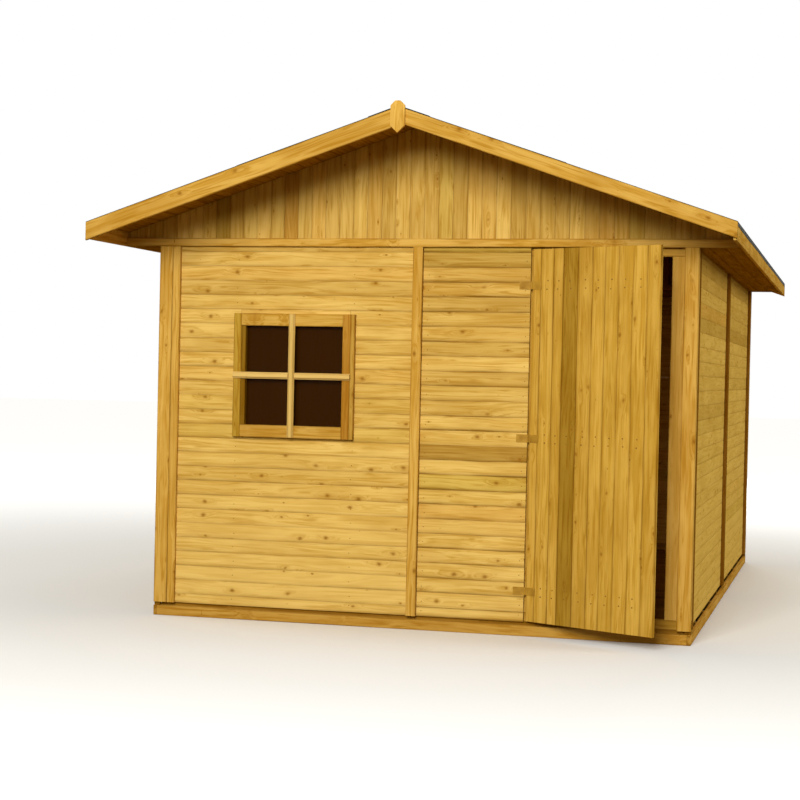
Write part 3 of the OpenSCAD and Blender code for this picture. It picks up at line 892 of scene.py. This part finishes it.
def barge_boards(name, seed):
    """A pair of barge boards with upright end cuts, each of its own height."""
    points = vertices(name)
    y0, y1 = (corner.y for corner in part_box(name))
    timber = Timber(name + "_timber", [name], "building", "trim", seed, 0.15)
    for side in (1, -1):
        half = points[points[:, 0] * side > 1e-4]
        x1 = abs(half[:, 0]).max()
        at_end = half[abs(half[:, 0]) > x1 - 1e-4]
        face = (at_end[:, 2].max() - at_end[:, 2].min()) * math.cos(PITCH)
        down, out = sloping_frame(side)
        # Across runs down the face, so that out is along the ridge
        start = Vector((0, y0 if side > 0 else y1, roof_top(0)))
        outline = box_outline(face, y1 - y0, 0.003)
        timber.board(start, down, -out, outline, x1 / math.cos(PITCH), foot_cut=SLOPE,
                     head_cut=SLOPE, tone=-0.65, hue=-0.1)
    timber.finish(TRIM)


barge_boards("front_barge_boards", 61)
barge_boards("back_barge_boards", 62)

FOLD_THICK = 0.0014     # of the felt turned down over the fascias
FOLD_DROP = 0.021       # how far it hangs down their faces
FOLD_CLEAR = 0.0002     # between it and those faces
FOLD_WAVE = 0.0012      # how unevenly its lower edge is cut
FOLD_RUNS = 60          # steps of its mesh along the eaves
OUTLINED_EDGE = 0.0025  # bevel of a solid that keeps its outline


def outlined(name, seed, material, tone=0.0, order=(1, 0, 2), recess=0.0):
    """A CAD solid kept in outline, with eased edges. order lists its axes
    from the one along the grain, and recess sets its outer faces back."""
    mesh = frame["nodes"][name].data.copy()
    mesh.materials.clear()
    outermost = max(abs(point.co.x) for point in mesh.vertices)
    for point in mesh.vertices:
        if recess and abs(point.co.x) > outermost - 1e-4:
            point.co.x -= math.copysign(recess, point.co.x)
    rough = add_object("rough", mesh)
    rough.modifiers.new("weld", "WELD").merge_threshold = 1e-5
    bevel = rough.modifiers.new("bevel", "BEVEL")
    bevel.width = OUTLINED_EDGE
    bevel.segments = 2
    bevel.limit_method = "ANGLE"
    shaped = bpy.data.meshes.new_from_object(
        rough.evaluated_get(bpy.context.evaluated_depsgraph_get()))
    bpy.data.objects.remove(rough)
    chance = random.Random(seed)
    offset = [chance.uniform(0, 50) for _ in range(3)]
    points = coordinates(shaped)
    count = len(points)
    set_looks(shaped, points[:, order] + offset, np.tile((tone, -0.1, 1.0), (count, 1)),
              np.zeros(count))
    smooth_by_angle(shaped)
    shaped.materials.append(material)
    add_piece(name + "_timber", shaped, "building", [name])


def roof_trim():
    for name, seed in (("front_finial", 71), ("back_finial", 72)):
        outlined(name, seed, TRIM, tone=0.1, order=(2, 0, 1))
    outlined("eaves_fascias", 73, TRIM, tone=0.1, recess=FOLD_THICK + FOLD_CLEAR)
    for name, seed in (("ridge_beam", 74), ("roof_purlins", 75), ("eaves_plates", 76)):
        outlined(name, seed, FRAME)


roof_trim()


def soffits():
    """Three boards along each eaves."""
    timber = Timber("eaves_soffit_boards", ["eaves_soffits"], "building", "roof_timber", 77)
    for low, high in solids("eaves_soffits"):
        width = (high.x - low.x) / 3
        for i in range(3):
            # -Y x -X is down, so the eased face is the lower one
            start = Vector((high.x - i * width, high.y, high.z))
            outline = matched_outline(width, high.z - low.z, 0.0005)
            timber.board(start, -Y, -X, outline, high.y - low.y)
    timber.finish(ROOF)


soffits()


FLOOR_BOARD = 0.11          # about the width of a floor board
FLOOR_EDGE = (0.0006, 0.002)  # drop and run of its edges


def floor_boards():
    # Its dark tone is painted shade, so that the deck's edge in the slot above the base boards
    # reads as shadow
    timber = Timber("floor_deck_boards", ["floor_deck"], "building", "floor_timber", 78, -1.6)
    low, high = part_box("floor_deck")
    count = round((high.y - low.y) / FLOOR_BOARD)
    width = (high.y - low.y) / count
    for i in range(count):
        start = Vector((low.x, low.y + i * width, low.z))
        outline = matched_outline(width, high.z - low.z, 0.0003, FLOOR_EDGE, FLOOR_EDGE)
        timber.board(start, X, Y, outline, high.x - low.x)
    timber.finish(FRAME)


floor_boards()

PACKER_CLEAR = 0.0002   # between a packing and the panels beside it
SIDE_LIP = 0.0006       # how far a corner block stays inside the base, at the sides
END_LIP = 0.012         # and at the ends


def corner_packers():
    """A block under each corner of the walls, on the base boards. Its dark tone is painted shade,
    so that it reads as the shadowed slot above the base boards.
    """
    timber = Timber("corner_packers", [], "building", "floor_timber", 79, -3.0)
    low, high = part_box("base_boards")
    deck_low, deck_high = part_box("floor_deck")
    for x0, x1 in ((low.x + SIDE_LIP, deck_low.x), (deck_high.x, high.x - SIDE_LIP)):
        for y0, y1 in ((low.y + END_LIP, deck_low.y), (deck_high.y, high.y - END_LIP)):
            timber.block(Vector((x0, y0, high.z)), Vector((x1, y1, deck_high.z)), 2)
    timber.finish(FRAME)


def joint_packers():
    """A thin packing in the open joint between the panels of each side wall. Its dark tone is
    painted shade in the joint.
    """
    timber = Timber("joint_packers", [], "building", "frame_timber", 80, -2.0)
    for name in ("left_wall_panels", "right_wall_panels"):
        first, second = sorted(solids(name), key=lambda box: box[0].y)
        low = Vector((first[0].x, first[1].y + PACKER_CLEAR, first[0].z))
        high = Vector((first[1].x, second[0].y - PACKER_CLEAR, first[1].z))
        timber.block(low, high, 2, 0.0002)
    timber.finish(FRAME)


corner_packers()
joint_packers()

# ---- felt


SHEET = 0.0014        # thickness of the felt
LAP_AT = 0.92         # foot of the upper sheet, down the slope from the ridge
LAP = 0.08            # how far the lower sheet runs up under it
FELT_LIFT = 0.0004    # clearance over the roof boards
LAPPED_LIFT = 0.0022  # and of the upper sheet's foot, over the lower one
STRIP_LIFTS = (0.0042, 0.0036)   # of the ridge strip at the ridge and at its edge
FELT_RUNS = 70        # steps of a sheet's mesh along the ridge
FELT_STEP = 0.08      # about the length of its steps down the slope
COCKLE = 0.0003       # about a quarter of the height of a sheet's waves
EDGE_FADE = 0.05      # how near its edges they start


def felt():
    """Felt in two laps on each slope, and a strip over the ridge."""
    low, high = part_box("roof_felt")
    strip_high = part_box("ridge_felt")[1]
    length = high.y - low.y
    full = high.x / math.cos(PITCH)
    runs = FELT_RUNS
    chance = random.Random(81)
    points, faces = [], []

    def ribbon(side, d0, d1, lift0, lift1):
        """A thin sheet from d0 to d1 down the slope, gently cockled."""
        down, out = sloping_frame(side)
        across = max(2, round((d1 - d0) / FELT_STEP))
        phase = [chance.uniform(0, math.tau) for _ in range(4)]
        base = len(points)

        def ripple(d, y):
            inset = min(d - d0, d1 - d, y - low.y, high.y - y)
            wave = (math.sin(7 * y + phase[0] + 2 * d) + math.sin(17 * y + phase[1] + 5 * d)
                    + math.sin(11 * d + phase[2] + y) + 2.2)
            return COCKLE * max(min(1.0, inset / EDGE_FADE), 0) * wave

        for layer in (0, 1):
            for i in range(across + 1):
                d = d0 + (d1 - d0) * i / across
                lift = lift0 + (lift1 - lift0) * i / across
                for j in range(runs + 1):
                    y = low.y + length * j / runs
                    height = lift + (SHEET if layer else 0) + ripple(d, y)
                    points.append(Vector((0, y, RIDGE_Z)) + down * d + out * height)
        size = (across + 1) * (runs + 1)

        def at(layer, i, j):
            return base + layer * size + i * (runs + 1) + j

        for i in range(across):
            for j in range(runs):
                faces.append((at(1, i, j), at(1, i + 1, j), at(1, i + 1, j + 1), at(1, i, j + 1)))
                faces.append((at(0, i, j), at(0, i, j + 1), at(0, i + 1, j + 1), at(0, i + 1, j)))
        for j in range(runs):
            faces.append((at(0, across, j), at(0, across, j + 1), at(1, across, j + 1),
                          at(1, across, j)))
            faces.append((at(0, 0, j), at(1, 0, j), at(1, 0, j + 1), at(0, 0, j + 1)))
        for i in range(across):
            faces.append((at(0, i, 0), at(0, i + 1, 0), at(1, i + 1, 0), at(1, i, 0)))
            faces.append((at(0, i, runs), at(1, i, runs), at(1, i + 1, runs), at(0, i + 1, runs)))

    for side in (1, -1):
        ribbon(side, LAP_AT - LAP, full, FELT_LIFT, FELT_LIFT)
        ribbon(side, 0.002, LAP_AT, FELT_LIFT, LAPPED_LIFT)
    mesh_object("roof_felt_sheets", points, faces, FELT, ["roof_felt"])
    points, faces = [], []
    # The two wings meet over the ridge at their upper faces
    meet = -(STRIP_LIFTS[0] + SHEET) * math.tan(PITCH)
    for side in (1, -1):
        ribbon(side, meet, strip_high.x / math.cos(PITCH), *STRIP_LIFTS)
    mesh_object("ridge_felt_strip", points, faces, FELT, ["ridge_felt"])


def felt_folds():
    """The felt turned down over each fascia, its lower edge cut by hand."""
    low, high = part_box("eaves_fascias")
    top = roof_top(high.x) + 0.001
    runs = FOLD_RUNS
    chance = random.Random(82)
    points, faces = [], []
    for side in (1, -1):
        base = len(points)
        phase = [chance.uniform(0, math.tau) for _ in range(2)]
        for j in range(runs + 1):
            y = low.y + (high.y - low.y) * j / runs
            uneven = math.sin(3 * y + phase[0]) + 0.5 * math.sin(11 * y + phase[1])
            foot = top - FOLD_DROP - FOLD_WAVE * uneven
            for x in (high.x - FOLD_THICK, high.x):
                points += [Vector((side * x, y, top)), Vector((side * x, y, foot))]
        for j in range(runs):
            a = base + 4 * j
            b = a + 4
            faces += [(a, b, b + 2, a + 2), (a + 1, a + 3, b + 3, b + 1),
                      (a, a + 1, b + 1, b), (a + 2, b + 2, b + 3, a + 3)]
        last = base + 4 * runs
        faces += [(base, base + 2, base + 3, base + 1), (last, last + 1, last + 3, last + 2)]
    mesh_object("felt_folds", points, faces, FELT)


def mesh_object(name, points, faces, material, nodes=(), body="building", turn=None):
    """A piece from points and faces, its faces turned outwards."""
    mesh = bpy.data.meshes.new(name)
    mesh.from_pydata([tuple(p) for p in points], [], faces)
    if turn:
        mesh.transform(turn)
    shape = bmesh.new()
    shape.from_mesh(mesh)
    bmesh.ops.recalc_face_normals(shape, faces=shape.faces)
    shape.to_mesh(mesh)
    shape.free()
    smooth_by_angle(mesh, 40)
    mesh.materials.append(material)
    add_piece(name, mesh, body, nodes)


felt()
felt_folds()

# ---- small hardware


HEAD_SIDES = 8          # of the outline of a round head
HEAD_SUNK = 0.0006      # how far its foot is sunk into the face
NAIL_RADIUS = 0.0026
SCREW_RADIUS = 0.0042   # also of the door's nails
CLOUT_RADIUS = 0.005    # of the felt's nails
NAIL_HEIGHT = 0.0009
CLOUT_HEIGHT = 0.0012


def dome(points, faces, centre, out, radius, height):
    """A low round head that stands on a face."""
    sides = HEAD_SIDES
    helper = X if abs(out.x) < 0.9 else Y
    u = out.cross(helper).normalized()
    v = out.cross(u)
    base = len(points)
    for size, rise in ((1.0, -HEAD_SUNK), (1.0, height * 0.3), (0.62, height * 0.85)):
        for k in range(sides):
            angle = math.tau * k / sides
            points.append(centre + u * (radius * size * math.cos(angle))
                          + v * (radius * size * math.sin(angle)) + out * rise)
    points.append(centre + out * height)
    for ring in (0, 1):
        for k in range(sides):
            a = base + ring * sides + k
            b = base + ring * sides + (k + 1) % sides
            faces.append((a, b, b + sides, a + sides))
    top = base + 3 * sides
    for k in range(sides):
        faces.append((base + 2 * sides + k, base + 2 * sides + (k + 1) % sides, top))
    faces.append(tuple(base + k for k in reversed(range(sides))))


def nail_rows(name, spots, out, body="building", turn=None, radius=NAIL_RADIUS, material=NAIL):
    points, faces = [], []
    for spot in spots:
        dome(points, faces, spot, out, radius, NAIL_HEIGHT)
    mesh_object(name, points, faces, material, body=body, turn=turn)


PANEL_INSETS = (0.03, 0.025)   # of the nails from the ends of the middle panel
NAIL_UP = 0.42                 # their height on a board, as a share of its cover
NAIL_STRAY = 0.004             # how far they stray
LEAST_NAILED = 0.05            # boards narrower than this have no nails


def wall_nails():
    """One nail where each cladding board crosses a stud or a panel end."""
    chance = random.Random(91)

    def jitter():
        return chance.uniform(-NAIL_STRAY, NAIL_STRAY)

    walls = [("front_window_panel", "front_wall_studs", -Y), ("front_middle_panel", None, -Y),
             ("left_wall_panels", "side_wall_studs", -X),
             ("right_wall_panels", "side_wall_studs", X),
             ("back_wall_panels", "back_wall_studs", Y)]
    for name, stud_node, out in walls:
        spots = []
        axis = 0 if abs(out.y) > 0.5 else 1
        boxes = [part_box(name)] if "front" in name else solids(name)
        for low, high in boxes:
            face = low[1 - axis] if out[1 - axis] < 0 else high[1 - axis]
            if stud_node:
                places = [(a[axis] + b[axis]) / 2 for a, b in solids(stud_node)
                          if low[axis] < (a[axis] + b[axis]) / 2 < high[axis]
                          and b.z - a.z > 1 and (axis == 0 or a.x * out.x > 0)]
            else:
                places = [low[axis] + PANEL_INSETS[0], high[axis] - PANEL_INSETS[1]]
            hole = window_hole() if name == "front_window_panel" else None
            for z0, z1 in rows(low.z, high.z):
                if z1 - z0 < LEAST_NAILED:
                    continue
                for place in places:
                    z = z0 + ROW * NAIL_UP + jitter()
                    if hole and hole[0] < place - low.x < hole[1] and hole[2] < z < hole[3]:
                        continue
                    spot = Vector((0, 0, z))
                    spot[axis] = place + jitter()
                    spot[1 - axis] = face
                    spots.append(spot)
        nail_rows(name.replace("panels", "nails").replace("panel", "nails"), spots, out)


NAIL_SHARES = (0.28, 0.72)      # of a ledge's height, where its nails are
STRAY_X, STRAY_Z = 0.006, 0.003   # how far they stray


def door_nails():
    """Two nails through each board into each ledge."""
    chance = random.Random(92)
    low, high = solids("door_boards", SHUT)[0]
    ledges = [box for box in solids("door_ledges", SHUT) if box[1].z - box[0].z < LEDGE_MOST]
    spots = []
    for x0, x1 in door_board_edges():
        x = (x0 + x1) / 2
        if x < ledges[0][0].x or x > ledges[0][1].x:
            continue
        for a, b in ledges:
            for share in NAIL_SHARES:
                z = a.z + (b.z - a.z) * share + chance.uniform(-STRAY_Z, STRAY_Z)
                spots.append(Vector((x + chance.uniform(-STRAY_X, STRAY_X), low.y, z)))
    nail_rows("door_nails", spots, -Y, "door", SWING, SCREW_RADIUS)


PIN_TO_PLATE = 0.012    # level distance from the pin to the edge of a plate
PIN_TO_FIXED = 0.0053   # how far behind the pin the fixed plate's face lies
SCREW_SPOTS = ((0.012, 0.0), (0.036, 0.011), (0.036, -0.011))   # from that edge, and up


def hinge_screws():
    """Three round-headed screws in each hinge plate."""
    fixed, moving = [], []
    for low, high in solids("door_hinge_plates"):
        middle = (low.z + high.z) / 2
        for dx, dz in SCREW_SPOTS:
            away = PIN_TO_PLATE + dx
            fixed.append(Vector((HINGE_AT.x - away, HINGE_AT.y + PIN_TO_FIXED, middle + dz)))
            moving.append(Vector((HINGE_AT.x + away, HINGE_AT.y, middle + dz)))
    nail_rows("hinge_screws_fixed", fixed, -Y, radius=SCREW_RADIUS, material=ZINC)
    nail_rows("hinge_screws_moving", moving, -Y, "door", SWING, SCREW_RADIUS, ZINC)


CLOUT_INSET = 0.03      # from the edges of the felt
CLOUT_GAPS = 40         # in a row
STRIP_FACE, LAP_FACE, EAVES_FACE = 0.0052, 0.0036, 0.0019   # felt's face over the boards


def felt_nails():
    """Clout nails along the laps and edges of the felt."""
    low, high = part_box("roof_felt")
    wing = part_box("ridge_felt")[1].x
    points, faces = [], []
    for side in (1, -1):
        down, out = sloping_frame(side)
        for edge, lift in ((wing / math.cos(PITCH), STRIP_FACE), (LAP_AT, LAP_FACE),
                           (high.x / math.cos(PITCH), EAVES_FACE)):
            for k in range(CLOUT_GAPS + 1):
                y = low.y + CLOUT_INSET + (high.y - low.y - 2 * CLOUT_INSET) * k / CLOUT_GAPS
                centre = Vector((0, y, RIDGE_Z)) + down * (edge - CLOUT_INSET) + out * lift
                dome(points, faces, centre, out, CLOUT_RADIUS, CLOUT_HEIGHT)
    mesh_object("felt_nails", points, faces, NAIL)


wall_nails()
door_nails()
hinge_screws()
felt_nails()


def hardware_finish():
    for name, material in (("door_hinge_plates", ZINC), ("door_hinges", ZINC),
                           ("window_glass", GLASS)):
        thing = frame["nodes"][name]
        for slot in thing.material_slots:
            slot.material = material


hardware_finish()

# ---- floor, light, camera

DOME_LEVEL = 0.4      # strength of the world as light
BACKDROP_LEVEL = 1.0  # and as the pale backdrop
FLOOR_REACH = 60      # half the width of the floor
FLOOR_PALE = (0.84, 0.84, 0.83, 1)     # as it is seen
FLOOR_THROWN = (0.17, 0.12, 0.04, 1)   # in the light that it throws back
GLOW_FROM, GLOW_TO, GLOW = 2.0, 15.0, 0.66   # of the floor far from the shed


def seen_directly(n):
    """1 for camera, glossy and transmission rays, which see the backdrop."""
    rays = n.tree.nodes.new("ShaderNodeLightPath").outputs
    seen = n.math("MAXIMUM", rays["Is Camera Ray"], rays["Is Glossy Ray"])
    return n.math("MAXIMUM", seen, rays["Is Transmission Ray"])


def stage():
    """A pale floor that throws only a little warm light onto the shed. Far
    from the shed, where the lamps don't reach, rays see it as pale too."""
    corners = [(FLOOR_REACH * x, FLOOR_REACH * y, 0)
               for x, y in ((-1, -1), (1, -1), (1, 1), (-1, 1))]
    mesh = bpy.data.meshes.new("studio_floor")
    mesh.from_pydata(corners, [], [(0, 1, 2, 3)])
    n = Material("studio_floor")
    seen = seen_directly(n)
    distance = n.vector_math("LENGTH", n.place(), out="Value")
    glow = n.math("MULTIPLY", n.ramp(distance, GLOW_FROM, GLOW_TO, 0.0, GLOW), seen)
    mesh.materials.append(n.shade(
        Base_Color=n.mix(seen, FLOOR_THROWN, FLOOR_PALE), Roughness=0.9,
        Specular_IOR_Level=0.0, Emission_Color=(1, 1, 1, 1), Emission_Strength=glow))
    ground = add_object("studio_floor", mesh)


def light():
    """A dim dome with a pale backdrop, a broad key in front, and fills."""
    world = bpy.data.worlds.new("studio")
    bpy.context.scene.world = world
    world.use_nodes = True
    n = Nodes(world.node_tree)
    background = world.node_tree.nodes["Background"]
    seen = seen_directly(n)
    n.link(n.mix(seen, (1.0, 0.97, 0.9, 1), (1.0, 1.0, 1.0, 1)), background.inputs["Color"])
    n.link(n.math("ADD", DOME_LEVEL, n.math("MULTIPLY", seen, BACKDROP_LEVEL - DOME_LEVEL)),
           background.inputs["Strength"])

    def area(name, place, size, power, target=(0, 0, 1.2), colour=(1.0, 0.99, 0.96)):
        lamp = bpy.data.lights.new(name, "AREA")
        lamp.size = size
        lamp.energy = power
        lamp.color = colour
        thing = add_object(name, lamp)
        thing.location = place
        aim = Vector(target) - Vector(place)
        thing.rotation_euler = aim.to_track_quat("-Z", "Y").to_euler()

    area("key", (0.3, -13.0, 5.3), 4.4, 1200)
    area("right_fill", (13.0, -1.0, 5.0), 6.0, 620)
    area("left_fill", (-13.0, 1.0, 5.0), 6.0, 430)
    area("back_fill", (0.4, 13.0, 5.0), 6.0, 900)
    # What comes in through the open doorway, thrown about the room
    area("room_glow", (0.0, 0.3, 2.2), 2.2, 4, (0, 0.3, 0), (1.0, 0.62, 0.22))


def camera():
    """The view of the fitted camera: place, turn, tilt and lean in radians."""
    place = Vector((2.3244, -11.510, 1.3755))
    turn, tilt, lean = 0.255126, -0.013856, 0.021728
    lens = bpy.data.cameras.new("camera")
    lens.sensor_width = 36
    lens.lens = 79.43
    lens.clip_end = 200
    thing = add_object("camera", lens)
    thing.matrix_world = (Matrix.Translation(place) @ Matrix.Rotation(turn, 4, "Z")
                          @ Matrix.Rotation(math.pi / 2 + tilt, 4, "X")
                          @ Matrix.Rotation(lean, 4, "Z"))
    bpy.context.scene.camera = thing


stage()
light()
camera()
bpy.context.scene.view_settings.view_transform = "Standard"
